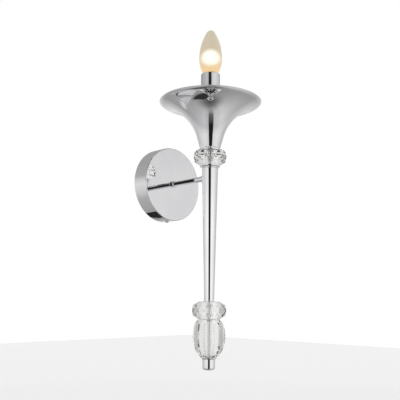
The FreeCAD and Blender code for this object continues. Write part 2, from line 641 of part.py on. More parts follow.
def make_stem():
    """Tapered tube, with a turned head that takes the arm and the centre tube, and a foot for the tie rod."""
    stem = turned("stem", [
        ("stem_bottom_diameter / 2", "stem_bottom"), ("stem_top_diameter / 2", "stem_top_height"),
        ("stem_top_diameter / 2 - stem_wall", "stem_top_height"),
        ("stem_bottom_diameter / 2 - stem_wall", "stem_bottom")], y=ON_STEM)
    pocket(stem, "stem_arm_hole", "XZ_Plane", [("0", "0", "arm_hole")], both_ways=False)
    keep(stem, "stem_tube")
    ring_top = "flange_bottom"
    bulge = "ring_height / 2"
    head = turned("head", [
        ("0", "spigot_bottom"), ("spigot_radius", "spigot_bottom"), ("spigot_radius", "stem_top_height"),
        (f"ring_radius - {bulge}", "stem_top_height", bulge), (f"ring_radius - {bulge}", ring_top),
        ("flange_radius", ring_top), ("flange_radius", "flange_top"), ("tube_hole", "flange_top"),
        ("tube_hole", "tube_seat"), ("tube_bore / 2", "tube_seat"), ("tube_bore / 2", "-head_sump"),
        ("0", "-head_sump")], y=ON_STEM)
    pocket(head, "head_arm_hole", "XZ_Plane", [("0", "0", "arm_diameter / 2 + thread_gap")],
           both_ways=False)
    keep(head, "stem_head")
    inner = "stem_bottom_diameter / 2 - stem_wall - clearance"
    foot = turned("foot", [
        ("rod_hole", "foot_bottom"), ("foot_radius", "foot_bottom"), ("foot_radius", "stem_bottom"),
        (inner, "stem_bottom"), (inner, "stem_bottom + foot_spigot"),
        ("rod_hole", "stem_bottom + foot_spigot")], y=ON_STEM)
    keep(foot, "stem_foot")
    keep(turned("centre", tube("tube_radius", "tube_bore / 2", "tube_seat", "tube_top"), y=ON_STEM),
         "centre_tube")
    nuts = []
    for name, level in (("floor", "floor_top"), ("under_seat", "seat_bottom - tube_nut_height"),
                        ("over_seat", "seat_top")):
        nuts.append(nut(name + "_nut", "tube_nut_flats", "tube_nut_height", "tube_hole",
                        y=ON_STEM, z=level))
    group("tube_nuts", nuts)


def make_trumpet():
    """Spun trumpet: straight throat, one flare and a turned up lip, all of one sheet."""
    sheet = "trumpet_wall"
    body = turned("trumpet_shell", [
        ("tube_hole", "0"), ("throat_radius", "0"),
        ("cone_radius", "cone_height", "-flare_radius"),
        ("flare_rim", "flare_height", "lip_radius"),
        ("trumpet_diameter / 2", "rim_height"),
        (f"trumpet_diameter / 2 - {sheet} * sin(lip_slope)", f"rim_height + {sheet} * cos(lip_slope)",
         f"-(lip_radius - {sheet})"),
        (f"flare_rim - {sheet} * sin(mouth_slope)", f"flare_height + {sheet} * cos(mouth_slope)",
         f"flare_radius + {sheet}"),
        (f"cone_radius - {sheet} * cos(throat_lean)", f"cone_height + {sheet} * sin(throat_lean)"),
        (f"throat_radius + trumpet_floor * tan(throat_lean) - {sheet} / cos(throat_lean)", "trumpet_floor"),
        ("tube_hole", "trumpet_floor")], y=ON_STEM, z="trumpet_bottom")
    keep(body, "trumpet")


def make_candle():
    """Seat on the centre tube, candle sleeve on the seat, and the lamp holder inside the sleeve."""
    inside = "sleeve_diameter / 2 - sleeve_wall - clearance"
    seat = turned("seat", [
        ("tube_hole", "seat_bottom"), ("seat_radius", "seat_bottom"), ("seat_radius", "seat_top"),
        (inside, "seat_top"), (inside, "seat_top + seat_lip_height"),
        (f"{inside} - seat_thickness", "seat_top + seat_lip_height"),
        (f"{inside} - seat_thickness", "seat_top"), ("tube_hole", "seat_top")], y=ON_STEM)
    keep(seat, "candle_seat")
    sleeve = turned("sleeve", tube("sleeve_diameter / 2", "sleeve_diameter / 2 - sleeve_wall",
                                   "seat_top", "sleeve_top"), y=ON_STEM)
    keep(sleeve, "candle_sleeve")
    ledge = "holder_bore - holder_ledge_width"
    holder = turned("holder", [
        ("tube_hole", "0"), ("holder_radius", "0"), ("holder_radius", "holder_length"),
        ("holder_bore", "holder_length"), ("holder_bore", "holder_ledge"), (ledge, "holder_ledge"),
        (ledge, "holder_floor"), ("tube_hole", "holder_floor")], y=ON_STEM, z="holder_bottom")
    keep(holder, "lampholder_body")
    puck = turned("puck", [
        ("0", "puck_bottom"), ("holder_bore - clearance", "puck_bottom"),
        ("holder_bore - clearance", "puck_top"), ("0", "puck_top")], y=ON_STEM)
    keep(puck, "lampholder_insert")
    outer = "shell_bore / 2 + shell_wall"
    shell = turned("thread_shell", [
        ("shell_bore / 2", "puck_top"), ("shell_flange_radius", "puck_top"),
        ("shell_flange_radius", "puck_top + shell_wall"), (outer, "puck_top + shell_wall"),
        (outer, "puck_top + shell_height"), ("shell_bore / 2", "puck_top + shell_height")], y=ON_STEM)
    keep(shell, "lampholder_shell")
    tongue = doc.addObject("PartDesign::Body", "tongue")
    half = "tongue_length / 2"
    thin = "tongue_thickness"
    side = outline(tongue, "tongue_side", "XZ_Plane", [
        (f"-{half}", "0"), ("-tongue_length / 4", "0"), ("tongue_length / 8", f"tongue_rise - {thin}"),
        (half, f"tongue_rise - {thin}"), (half, "tongue_rise"), ("0", "tongue_rise"),
        (f"-tongue_length / 4 - {thin} / 2", thin), (f"-{half}", thin)])
    pad = tongue.newObject("PartDesign::Pad", "tongue_strip")
    pad.Profile = side
    pad.Midplane = True
    bind(pad, Length="tongue_width")
    keep(place(tongue, y=ON_STEM, z="puck_top"), "lampholder_contact")
    posts = []
    for name, sign in (("live", "-"), ("neutral", "")):
        middle = f"{sign}post_offset"
        block = box(name + "_post_blank", "post_width", "post_width", "post_height",
                    x=f"{middle} - post_width / 2", y=f"-stem_reach - post_width / 2",
                    z="puck_bottom - post_height")
        bore = cylinder(name + "_post_bore", "wire_radius + clearance", "wire_entry - clearance",
                        x=middle, y=ON_STEM, z="puck_bottom - post_height")
        posts.append(cut_from(name + "_post", block, [bore]))
    group("lampholder_terminals", posts)


def make_lamp():
    """Candle lamp with a small screw cap: glass, cap, button, glass post and filament."""
    inner_neck = "neck_radius - glass_wall"
    glass = turned("glass", [
        ("neck_radius", "neck_bottom"), ("neck_radius", "neck_top"),
        ("bowl_radius", "bowl_start", "lamp_lower_bow"), ("lamp_radius", "lamp_belly", "lamp_upper_bow"),
        ("tip_edge", "tip_base", "tip_bow"), ("0", "lamp_length"),
        ("0", "lamp_length - glass_wall", "-(tip_bow - glass_wall)"),
        ("inner_edge", "inner_base", "-(lamp_upper_bow - glass_wall)"),
        ("lamp_radius - glass_wall", "lamp_belly", "-(lamp_lower_bow - glass_wall)"),
        ("bowl_inner", "bowl_start"), (inner_neck, "neck_top"), (inner_neck, "neck_bottom")],
        y=ON_STEM, z="lamp_bottom")
    keep(glass, "bulb_glass")
    bore = "cap_radius - cap_wall"
    floor = "cap_bottom + cap_wall"
    cap = turned("cap", [
        ("tip_radius", "cap_bottom"), ("cap_radius", "cap_bottom"), ("cap_radius", "cap_top"),
        (bore, "cap_top"), (bore, floor), ("tip_radius", floor)], y=ON_STEM, z="lamp_bottom")
    keep(cap, "bulb_cap")
    base = turned("insulator", [
        ("0", "tip_height"), ("tip_radius", "tip_height"), ("cap_radius - 2 * cap_wall", "cap_bottom"),
        ("0", "cap_bottom")], y=ON_STEM, z="lamp_bottom")
    keep(base, "bulb_insulator")
    button = turned("button", [
        ("0", "0"), ("tip_radius / 2", "0"), ("tip_radius", "tip_height / 2"), ("tip_radius", "tip_height"),
        ("0", "tip_height")], y=ON_STEM, z="lamp_bottom")
    keep(button, "bulb_contact")
    foot = "neck_radius - glass_wall - clearance"
    post = turned("post", [
        ("0", "neck_bottom"), (foot, "neck_bottom"), ("mount_tip_radius", "neck_bottom + mount_height"),
        ("0", "neck_bottom + mount_height")], y=ON_STEM, z="lamp_bottom")
    keep(post, "bulb_mount")
    top = "neck_bottom + mount_height"
    start = "mount_tip_radius / 2"
    wire("bulb_filament", "lead_radius", "lead_bend", [
        (f"-{start}", "0", top), (f"-{start}", "0", f"{top} + lead_rise / 3"),
        ("-lead_spread", "0", f"{top} + lead_rise"), ("0", "0", f"{top} + lead_rise * 1.3"),
        ("lead_spread", "0", f"{top} + lead_rise"), (start, "0", f"{top} + lead_rise / 3"),
        (start, "0", top)], y=ON_STEM, z="lamp_bottom")


def rounded_path(points, bend):
    """Straight runs joined by tangent arcs, tighter than the bend where the runs beside are short."""
    edges = []
    here = points[0]
    for before, corner, after in zip(points, points[1:], points[2:]):
        to_corner = (corner - before).normalize()
        away = (after - corner).normalize()
        turn = to_corner.getAngle(away)
        room = 0.45 * min((corner - before).Length, (after - corner).Length)
        setback = min(room, bend * math.tan(turn / 2))
        radius = setback / math.tan(turn / 2)
        start = corner - to_corner * setback
        end = corner + away * setback
        bisector = (away - to_corner).normalize()
        middle = corner + bisector * (radius / math.cos(turn / 2) - radius)
        edges.append(Part.LineSegment(here, start).toShape())
        edges.append(Part.Arc(start, middle, end).toShape())
        here = end
    edges.append(Part.LineSegment(here, points[-1]).toShape())
    return Part.Wire(edges)


def wire(label, radius, bend, route, **where):
    """Round wire along a route of points, as one swept tube."""
    points = [spot(*point) for point in route]
    path = rounded_path(points, number(bend))
    circle = Part.Circle(points[0], points[1] - points[0], number(radius))
    solid = path.makePipeShell([Part.Wire(circle.toShape())], True, False)
    feature = doc.addObject("Part::Feature", label)
    feature.Shape = solid
    return keep(place(feature, **where), label)


def make_wires():
    """Two lamp wires from the terminal block through the arm and centre tube, and one earth wire."""
    for label, sign in (("live_wire", "-"), ("neutral_wire", "")):
        near = f"{sign}wire_offset"
        pole = f"{sign}pole_spacing / 2"
        wire(label, "wire_radius", "wire_bend", [
            (pole, "-pole_depth", "block_top - wire_entry"), (pole, "-pole_depth", "block_top + 4"),
            (f"({near} + {pole}) / 2", "-pole_depth - 4", "-2"), (near, "1.5 - arm_inner_end", "0"),
            (near, ON_STEM, "0"), (near, ON_STEM, "tube_top"),
            (f"{sign}post_offset", ON_STEM, "puck_bottom - post_height - 3"),
            (f"{sign}post_offset", ON_STEM, "puck_bottom - post_height + wire_entry - 2 * clearance")])
    arm_barrel = "arm_hole + tag_ring + tag_neck"
    strap_barrel = "earth_screw_diameter / 2 + clearance + tag_ring + tag_neck"
    front = "-(tag_plane - barrel_radius)"
    back = "-(strap_thickness + barrel_radius)"
    wire("earth_wire", "earth_wire_radius", "2 * wire_bend", [
        (f"{arm_barrel} + 1", front, "0"), (f"{arm_barrel} + barrel_length + 10", front, "0"),
        (f"{arm_barrel} + barrel_length + 18", f"({front} + {back}) / 2", "earth_height / 2"),
        (f"{arm_barrel} + barrel_length + 10", back, "earth_height"),
        (f"{strap_barrel} + 1", back, "earth_height")])


def ring_of_points(radius, height, sides, turned_half):
    step = 2 * math.pi / sides
    start = step / 2 if turned_half else 0
    return [Vector(radius * math.cos(start + k * step), radius * math.sin(start + k * step), height)
            for k in range(sides)]


def flat_face(points):
    return Part.Face(Part.makePolygon(points + [points[0]]))


def band(lower, upper, lower_turned, upper_turned):
    """Faces between two rings: upright facets where they line up, triangles where one is turned."""
    sides = len(lower)
    faces = []
    for k in range(sides):
        after = (k + 1) % sides
        if lower_turned == upper_turned:
            faces.append(flat_face([lower[k], lower[after], upper[after], upper[k]]))
        elif upper_turned:
            faces.append(flat_face([lower[k], lower[after], upper[k]]))
            faces.append(flat_face([lower[after], upper[after], upper[k]]))
        else:
            faces.append(flat_face([lower[k], lower[after], upper[after]]))
            faces.append(flat_face([lower[k], upper[after], upper[k]]))
    return faces


def facet_block(rings):
    """A solid of flat facets from rings of corners (height, radius, turned by half a facet), bottom first."""
    sides = int(number("bead_sides"))
    corners = [(ring_of_points(number(radius), number(height), sides, half), half)
               for height, radius, half in rings]
    faces = [flat_face(corners[0][0]), flat_face(corners[-1][0])]
    for (lower, lower_half), (upper, upper_half) in zip(corners, corners[1:]):
        faces += band(lower, upper, lower_half, upper_half)
    solid = Part.Solid(Part.makeShell(faces))
    if solid.Volume < 0:
        solid.reverse()
    return solid


def bowed_block(rings):
    """A solid whose facets each run the whole way up in one smooth bow, from rings that line up."""
    sides = int(number("bead_sides"))
    loops = []
    for height, radius, half in rings:
        loop = ring_of_points(number(radius), number(height), sides, half)
        loops.append(Part.makePolygon(loop + [loop[0]]))
    return Part.makeLoft(loops, True, False)


def cut_bead(label, blocks, bore, **where):
    """A cut crystal bead, bored along its height, from blocks of rings that are stacked bottom first."""
    solid = None
    for rings in blocks:
        lines_up = len({half for _, _, half in rings}) == 1
        block = bowed_block(rings) if lines_up else facet_block(rings)
        solid = solid.fuse(block) if solid else block
    hole = Part.makeCylinder(number(bore) / 2, number(blocks[-1][-1][0]))
    feature = doc.addObject("Part::Feature", label)
    feature.Shape = solid.cut(hole).removeSplitter()
    return keep(place(feature, **where), label)


def make_beads():
    """Cut crystals: two round beads whose kite facets are flat, and one oval bead with long facets."""
    table = "rondelle_table / 2"
    shoulder = "rondelle_shoulder_diameter / 2"
    round_bead = [
        ("0", table, False), ("rondelle_shoulder", shoulder, True),
        ("rondelle_height / 2", "rondelle_diameter / 2", False),
        ("rondelle_height - rondelle_shoulder", shoulder, True), ("rondelle_height", table, False)]
    cut_bead("upper_bead", [round_bead], "bead_bore", y=ON_STEM, z="upper_bead_bottom")
    cut_bead("lower_bead", [round_bead], "drop_bore", y=ON_STEM, z="lower_bead_bottom")
    taper = ("oval_height - oval_taper", "oval_taper_diameter / 2", False)
    crown = ("oval_height - oval_crown", "oval_crown_diameter / 2", False)
    bows = [
        taper, ("oval_height - oval_waist", "oval_waist_diameter / 2", False),
        ("oval_height - oval_belly", "oval_diameter / 2", False), crown]
    cut_bead("oval_bead", [
        [("0", "oval_bottom_diameter / 2", True), taper], bows,
        [crown, ("oval_height", "oval_top_diameter / 2", True)]], "drop_bore", y=ON_STEM, z="oval_bottom")
    seals = []
    for name, bore, level in (
            ("upper_bead_lower", "tube_hole", "flange_top"),
            ("upper_bead_upper", "tube_hole", "upper_bead_top"),
            ("lower_bead_upper", "rod_hole", "lower_bead_top"),
            ("lower_bead_lower", "rod_hole", "oval_top"),
            ("oval_bead_lower", "rod_hole", "finial_top")):
        seals.append(turned(name + "_seal", tube("seal_radius", bore, level, f"{level} + seal_thickness"),
                            y=ON_STEM))
    group("bead_seals", seals)


def make_finial():
    """Tie rod that hangs the lower beads from the stem, and the finial that closes it."""
    rod = cylinder("rod", "rod_diameter / 2", "rod_length", y=ON_STEM, z="rod_bottom")
    keep(rod, "tie_rod")
    edge = "finial_radius - finial_round"
    lip = "finial_radius + finial_lip"
    bottom = "finial_top - finial_height"
    body = turned("end_knob", [
        ("0", bottom), (edge, bottom, "finial_round"), ("finial_radius", f"{bottom} + finial_round"),
        ("finial_radius", "finial_top - finial_lip_height"), (lip, "finial_top - finial_lip_height"),
        (lip, "finial_top"), ("rod_hole", "finial_top"), ("rod_hole", "finial_top - finial_thread"),
        ("0", "finial_top - finial_thread")], y=ON_STEM)
    keep(body, "finial")


def check_and_write():
    """Stop on any failed object or bad solid, then write one file for each piece."""
    doc.recompute()
    for obj in doc.Objects:
        if "Invalid" in obj.State or "Error" in obj.State:
            raise RuntimeError(f"{obj.Name} failed: {obj.State}")
    os.makedirs("parts", exist_ok=True)
    for piece in PARTS:
        if piece.Shape.isNull() or not piece.Shape.isValid() or piece.Shape.Volume <= 0:
            raise RuntimeError(f"{piece.Label} has no valid solid")
    for piece in PARTS:
        piece.Shape.exportStep(f"parts/{piece.Label}.step")
        print(f"{piece.Label}: {len(piece.Shape.Solids)} solids, {piece.Shape.Volume:.1f} mm3")


fill_sheets()
make_rose()
make_strap()
make_cable_bush()
make_terminal_block()
make_earthing()
make_arm()
make_stem()
make_trumpet()
make_candle()
make_lamp()
make_beads()
make_finial()
make_wires()
check_and_write()
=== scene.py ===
import json
import math

import bmesh
import bpy
from mathutils import Matrix, Vector

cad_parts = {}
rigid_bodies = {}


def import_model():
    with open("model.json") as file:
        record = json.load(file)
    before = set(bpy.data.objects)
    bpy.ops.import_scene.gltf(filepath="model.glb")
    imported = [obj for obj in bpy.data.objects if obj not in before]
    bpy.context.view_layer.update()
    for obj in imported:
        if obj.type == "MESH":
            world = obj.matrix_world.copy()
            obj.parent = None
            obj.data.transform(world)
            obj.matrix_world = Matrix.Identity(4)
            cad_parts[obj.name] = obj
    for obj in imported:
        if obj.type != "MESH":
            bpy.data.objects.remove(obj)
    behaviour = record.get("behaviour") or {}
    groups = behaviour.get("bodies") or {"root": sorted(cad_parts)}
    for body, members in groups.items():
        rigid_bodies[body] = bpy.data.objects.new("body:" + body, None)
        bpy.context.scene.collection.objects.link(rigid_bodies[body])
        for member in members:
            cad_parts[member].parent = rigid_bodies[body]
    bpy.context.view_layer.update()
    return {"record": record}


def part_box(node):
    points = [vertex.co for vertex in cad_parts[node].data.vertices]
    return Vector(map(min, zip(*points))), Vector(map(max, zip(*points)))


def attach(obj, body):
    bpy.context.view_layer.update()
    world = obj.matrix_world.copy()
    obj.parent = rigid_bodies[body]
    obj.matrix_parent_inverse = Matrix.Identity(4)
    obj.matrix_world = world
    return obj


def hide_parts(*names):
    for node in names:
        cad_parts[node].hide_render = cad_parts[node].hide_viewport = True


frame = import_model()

# Torch wall light: its finishes, the threads and the sleeve as finer skins, a small studio and the camera.
# Metres, +Z up, wall at Y = 0.

STEM_Y = -0.1042  # axis of the stem


# ---------------------------------------------------------------- node helpers

def add(tree, kind, *, values=None, **settings):
    """A node with its settings, and plain values or links for its inputs."""
    node = tree.nodes.new(kind)
    for name, value in settings.items():
        setattr(node, name, value)
    for name, value in (values or {}).items():
        if isinstance(value, bpy.types.NodeSocket):
            tree.links.new(value, node.inputs[name])
        else:
            node.inputs[name].default_value = value
    return node


def ramp(tree, factor, stops, interpolation="LINEAR"):
    """A colour ramp through (position, colour) stops; a number stands for a grey."""
    node = add(tree, "ShaderNodeValToRGB", values={"Fac": factor})
    node.color_ramp.interpolation = interpolation
    points = node.color_ramp.elements
    while len(points) < len(stops):
        points.new(1.0)
    for point, (position, colour) in zip(points, stops):
        point.position = position
        if isinstance(colour, (int, float)):
            colour = (colour, colour, colour)
        point.color = (*colour[:3], 1.0)
    return node.outputs["Color"]


def maths(tree, operation, first, second=0.0):
    """One calculation, from sockets or numbers."""
    node = add(tree, "ShaderNodeMath", operation=operation)
    for slot, value in zip(node.inputs, (first, second)):
        if isinstance(value, bpy.types.NodeSocket):
            tree.links.new(value, slot)
        else:
            slot.default_value = value
    return node.outputs[0]


def noise(tree, scale, detail=3.0, stretch=(1, 1, 1)):
    """Noise that is fixed to the object."""
    place = add(tree, "ShaderNodeTexCoord")
    fit = add(tree, "ShaderNodeMapping", values={"Vector": place.outputs["Object"], "Scale": stretch})
    node = add(tree, "ShaderNodeTexNoise",
               values={"Vector": fit.outputs["Vector"], "Scale": scale, "Detail": detail})
    return node.outputs["Fac"]


def material(name):
    """A new material, its node tree and its shader."""
    made = bpy.data.materials.new(name)
    made.use_nodes = True
    tree = made.node_tree
    shader = [n for n in tree.nodes if n.type == "BSDF_PRINCIPLED"][0]
    return made, tree, shader


def plain(name, colour, roughness, *, metallic=0.0, grain=400.0, tint=0.06, bump=0.02):
    """A solid finish with a slight mottle in its colour, gloss and surface."""
    made, tree, shader = material(name)
    speckle = noise(tree, grain, 4.0)
    dark = [c * (1 - tint) for c in colour]
    light = [min(1.0, c * (1 + tint)) for c in colour]
    tree.links.new(ramp(tree, speckle, [(0.3, dark), (0.7, light)]), shader.inputs["Base Color"])
    span = add(tree, "ShaderNodeMapRange", values={
        "Value": speckle, "To Min": roughness * 0.85, "To Max": roughness * 1.15})
    tree.links.new(span.outputs["Result"], shader.inputs["Roughness"])
    shader.inputs["Metallic"].default_value = metallic
    relief = add(tree, "ShaderNodeBump", values={"Height": speckle, "Strength": bump, "Distance": 0.0004})
    tree.links.new(relief.outputs["Normal"], shader.inputs["Normal"])
    return made


# ---------------------------------------------------------------- finishes

def chrome():
    """Mirror plate: faint haze patches and hairline polishing marks."""
    made, tree, shader = material("chrome_plate")
    haze = noise(tree, 22.0, 3.0)
    hair = noise(tree, 900.0, 2.0, (1, 1, 0.08))
    tree.links.new(ramp(tree, haze, [(0.3, (0.86, 0.86, 0.88)), (0.7, (0.93, 0.93, 0.94))]),
                   shader.inputs["Base Color"])
    gloss = add(tree, "ShaderNodeMapRange", values={"Value": haze, "To Min": 0.025, "To Max": 0.06})
    tree.links.new(gloss.outputs["Result"], shader.inputs["Roughness"])
    shader.inputs["Metallic"].default_value = 1.0
    relief = add(tree, "ShaderNodeBump", values={"Height": hair, "Strength": 0.015, "Distance": 0.0002})
    tree.links.new(relief.outputs["Normal"], shader.inputs["Normal"])
    return made


def crystal():
    """Clear cut glass with a faint warm grey body and soft polishing haze on its facets."""
    made, tree, shader = material("cut_crystal")
    haze = noise(tree, 60.0, 2.0)
    tree.links.new(ramp(tree, haze, [(0.3, (0.89, 0.895, 0.87)), (0.7, (0.95, 0.955, 0.935))]),
                   shader.inputs["Base Color"])
    gloss = add(tree, "ShaderNodeMapRange", values={"Value": haze, "To Min": 0.045, "To Max": 0.085})
    tree.links.new(gloss.outputs["Result"], shader.inputs["Roughness"])
    shader.inputs["IOR"].default_value = 1.5
    shader.inputs["Transmission Weight"].default_value = 0.97
    return made


def clear_washer():
    """Clear plastic washer, slightly milky."""
    made, tree, shader = material("clear_washer")
    haze = noise(tree, 300.0, 2.0)
    tree.links.new(ramp(tree, haze, [(0.3, (0.90, 0.91, 0.92)), (0.7, (0.97, 0.97, 0.97))]),
                   shader.inputs["Base Color"])
    shader.inputs["Roughness"].default_value = 0.25
    shader.inputs["Transmission Weight"].default_value = 0.8
    return made


def lamp_glass():
    """Frosted, lit lamp: a white core round its filament, peach at its base and dull beige at its tip."""
    made, tree, shader = material("lit_lamp_glass")
    base, tip, core, half_core = 0.158, 0.232, 0.1827, 0.0158
    place = add(tree, "ShaderNodeTexCoord")
    height = add(tree, "ShaderNodeSeparateXYZ", values={0: place.outputs["Object"]}).outputs["Z"]
    share = add(tree, "ShaderNodeMapRange",
                values={"Value": height, "From Min": base, "From Max": tip}).outputs["Result"]
    tone = ramp(tree, share, [
        (0.0, (0.80, 0.48, 0.20)), (0.10, (0.78, 0.55, 0.27)), (0.28, (0.62, 0.50, 0.31)),
        (0.55, (0.50, 0.42, 0.30)), (1.0, (0.46, 0.42, 0.32))])
    facing = add(tree, "ShaderNodeLayerWeight", values={"Blend": 0.5}).outputs["Facing"]
    toward = maths(tree, "SUBTRACT", 1.0, facing)
    aside = maths(tree, "SUBTRACT", 1.0, maths(tree, "MULTIPLY", toward, toward))
    rise = maths(tree, "DIVIDE", maths(tree, "SUBTRACT", height, core), half_core)
    away = maths(tree, "SQRT", maths(tree, "ADD", aside, maths(tree, "MULTIPLY", rise, rise)))
    glow = ramp(tree, maths(tree, "MULTIPLY", away, 0.5), [(0.12, 1.0), (0.3, 0.75), (0.52, 0.0)], "EASE")
    lit = add(tree, "ShaderNodeMix", data_type="RGBA")
    tree.links.new(glow, lit.inputs[0])
    tree.links.new(tone, lit.inputs[6])
    lit.inputs[7].default_value = (1.06, 1.04, 0.95, 1.0)
    frost = noise(tree, 700.0, 3.0)
    tree.links.new(ramp(tree, frost, [(0.3, (0.10, 0.095, 0.08)), (0.7, (0.13, 0.12, 0.10))]),
                   shader.inputs["Base Color"])
    shader.inputs["Roughness"].default_value = 0.4
    tree.links.new(lit.outputs[2], shader.inputs["Emission Color"])
    shader.inputs["Emission Strength"].default_value = 1.0
    return made


CHROME = chrome()
SLOT_FINISH = {
    "chrome": CHROME,
    "sleeve": CHROME,
    "crystal": crystal(),
    "clear_plastic": clear_washer(),
    "lamp_glass": lamp_glass(),
    "plate_steel": plain("zinc_plate", (0.62, 0.63, 0.65), 0.35, metallic=1.0, grain=180, tint=0.12),
    "brass": plain("bare_brass", (0.74, 0.56, 0.26), 0.28, metallic=1.0, grain=250, tint=0.1),
    "black_rubber": plain("black_rubber", (0.035, 0.035, 0.036), 0.7, grain=900, bump=0.15),
    "block_plastic": plain("block_moulding", (0.84, 0.82, 0.76), 0.45, grain=700, bump=0.06),
    "holder_plastic": plain("holder_moulding", (0.90, 0.88, 0.82), 0.4, grain=700, bump=0.05),
    "ceramic_insert": plain("fired_ceramic", (0.88, 0.86, 0.80), 0.6, grain=800, bump=0.12),
    "lamp_cap": plain("lamp_cap_alloy", (0.74, 0.74, 0.75), 0.3, metallic=1.0, grain=500, tint=0.08),
    "lamp_insulator": plain("black_glaze", (0.02, 0.02, 0.025), 0.15, grain=300),
    "filament": plain("tungsten", (0.35, 0.33, 0.31), 0.4, metallic=1.0, grain=2000),
    "brown_pvc": plain("brown_pvc", (0.23, 0.11, 0.05), 0.42, grain=900, bump=0.05),
    "blue_pvc": plain("blue_pvc", (0.04, 0.14, 0.42), 0.42, grain=900, bump=0.05),
    "green_yellow_pvc": plain("green_yellow_pvc", (0.30, 0.52, 0.08), 0.42, grain=900, bump=0.05),
}
for entry in frame["record"]["subparts"]:
    node = bpy.data.objects[entry["node"]]
    for holder in node.material_slots:
        holder.material = SLOT_FINISH[entry["material_slot"]]


# ---------------------------------------------------------------- pieces that stand for CAD nodes

AROUND = 64  # steps round a turned skin
SHARP = math.radians(30)  # an edge that turns more than this stays an edge
WELD = 1e-6  # points nearer than this become one


def lathe(name, rows, finish, node, body):
    """A skin round the stem axis that replaces a node.

    Each row is a height and a radius, or a height and a function that gives the radius at an angle.
    """
    points, faces = [], []
    for level, radius in rows:
        for step in range(AROUND):
            angle = 2 * math.pi * step / AROUND
            reach = radius(angle) if callable(radius) else radius
            points.append((reach * math.cos(angle), STEM_Y + reach * math.sin(angle), level))
    for row in range(len(rows) - 1):
        for step in range(AROUND):
            after = (step + 1) % AROUND
            below, above = row * AROUND, (row + 1) * AROUND
            faces.append((below + step, below + after, above + after, above + step))
    mesh = bpy.data.meshes.new(name)
    mesh.from_pydata(points, [], faces)
    mesh.shade_smooth()
    shape = bmesh.new()
    shape.from_mesh(mesh)
    bmesh.ops.remove_doubles(shape, verts=shape.verts, dist=WELD)
    for edge in shape.edges:
        edge.smooth = not edge.is_manifold or edge.calc_face_angle() < SHARP
    shape.to_mesh(mesh)
    shape.free()
    mesh.materials.append(SLOT_FINISH[finish])
    piece = bpy.data.objects.new(name, mesh)
    bpy.context.collection.objects.link(piece)
    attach(piece, body)
    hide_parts(node)


def thread_row(outer, cut, start):
    """Radius at an angle, in one row of a thread that is `cut` deep."""
    def radius(angle):
        return outer - cut * (0.5 - 0.5 * math.cos(start - angle))
    return radius


def threaded(low, high, outer, *, pitch, depth, bottom_run, top_run, rows_each_turn):
    """Rows of a rolled thread that fades out towards both ends."""
    rows = []
    count = round((high - low) / pitch * rows_each_turn)
    for row in range(count + 1):
        level = low + (high - low) * row / count
        cut = depth * max(0.0, min(1.0, (level - low) / bottom_run, (high - level) / top_run))
        rows.append((level, thread_row(outer, cut, 2 * math.pi * level / pitch)))
    return rows


def screw_cap():
    """Lamp cap with its rolled thread, 2.82 mm a turn, and a lip that holds the black insulator."""
    low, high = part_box("bulb_cap")
    outer = (high[0] - low[0]) / 2
    lip_radius, edge = 0.0026, 0.0006
    lip = [(low[2], lip_radius), (low[2], outer - edge)]
    thread = threaded(low[2], high[2], outer, pitch=0.00282, depth=0.00045,
                      bottom_run=0.0028, top_run=0.0045, rows_each_turn=10)
    lathe("lamp_screw_cap", lip + thread, "lamp_cap", "bulb_cap", "bulb")


def candle_tube():
    """Candle sleeve with a rounded top rim, as tall as it looks in the photograph."""
    low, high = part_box("candle_sleeve")
    outer = (high[0] - low[0]) / 2
    wall, round_off, shortened, rim_steps = 0.001, 0.0005, 0.0027, 6
    bottom, top = low[2], high[2] - shortened
    upper = []
    for step in range(rim_steps + 1):
        turn = math.pi * step / rim_steps
        up, out = round_off * math.sin(turn), round_off * math.cos(turn)
        upper.append((top - round_off + up, outer - round_off + out))
    rows = [(bottom, outer - wall), (bottom, outer), (upper[0][0] - round_off, outer)] + upper
    rows += [(upper[-1][0] - round_off, outer - wall), (bottom, outer - wall)]
    lathe("candle_tube", rows, "sleeve", "candle_sleeve", "fixture")


def tie_screw():
    """Threaded rod through the two lower beads."""
    low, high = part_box("tie_rod")
    outer = (high[0] - low[0]) / 2
    thread = threaded(low[2], high[2], outer, pitch=0.001, depth=0.0006,
                      bottom_run=0.0015, top_run=0.0015, rows_each_turn=8)
    lathe("tie_screw", [(low[2], 0.0)] + thread + [(high[2], 0.0)], "chrome", "tie_rod", "fixture")


screw_cap()
candle_tube()
tie_screw()


# ---------------------------------------------------------------- studio

SCREEN_DISTANCE = 8.0
SCREEN_GAP = 0.15  # a screen stands this much nearer than the one before it in order
LEAN_END = -0.34  # below this height on the unit sphere a leaning screen runs straight


def white_world():
    """White all round at strength 1, for every kind of ray, save where a screen stands before it."""
    world = bpy.data.worlds.new("studio")
    bpy.context.scene.world = world
    world.use_nodes = True
    background = world.node_tree.nodes["Background"]
    background.inputs["Color"].default_value = (1.0, 1.0, 1.0, 1.0)
    background.inputs["Strength"].default_value = 1.0
    # Not sampled as a lamp is, or metal would get its white through the screens, which cast no shadow.
    world.cycles.sampling_method = "NONE"


def screen_mesh(name, sides, heights, distance, lean):
    """Part of a sphere between the first and last places of `sides` and `heights`."""
    columns, rows = 64, 24
    points, faces = [], []
    for row in range(rows + 1):
        height = heights[0][0] + (heights[-1][0] - heights[0][0]) * row / rows
        reach = math.sqrt(1 - height * height)
        for column in range(columns + 1):
            share = sides[0][0] + (sides[-1][0] - sides[0][0]) * column / columns
            angle = 2 * math.pi * (share - lean * max(height, LEAN_END) - 0.5)
            unit = Vector((reach * math.cos(angle), reach * math.sin(angle), height))
            points.append(distance * unit)
    for row in range(rows):
        for column in range(columns):
            corner = row * (columns + 1) + column
            faces.append((corner, corner + 1, corner + columns + 2, corner + columns + 1))
    mesh = bpy.data.meshes.new(name)
    mesh.from_pydata(points, [], faces)
    return mesh


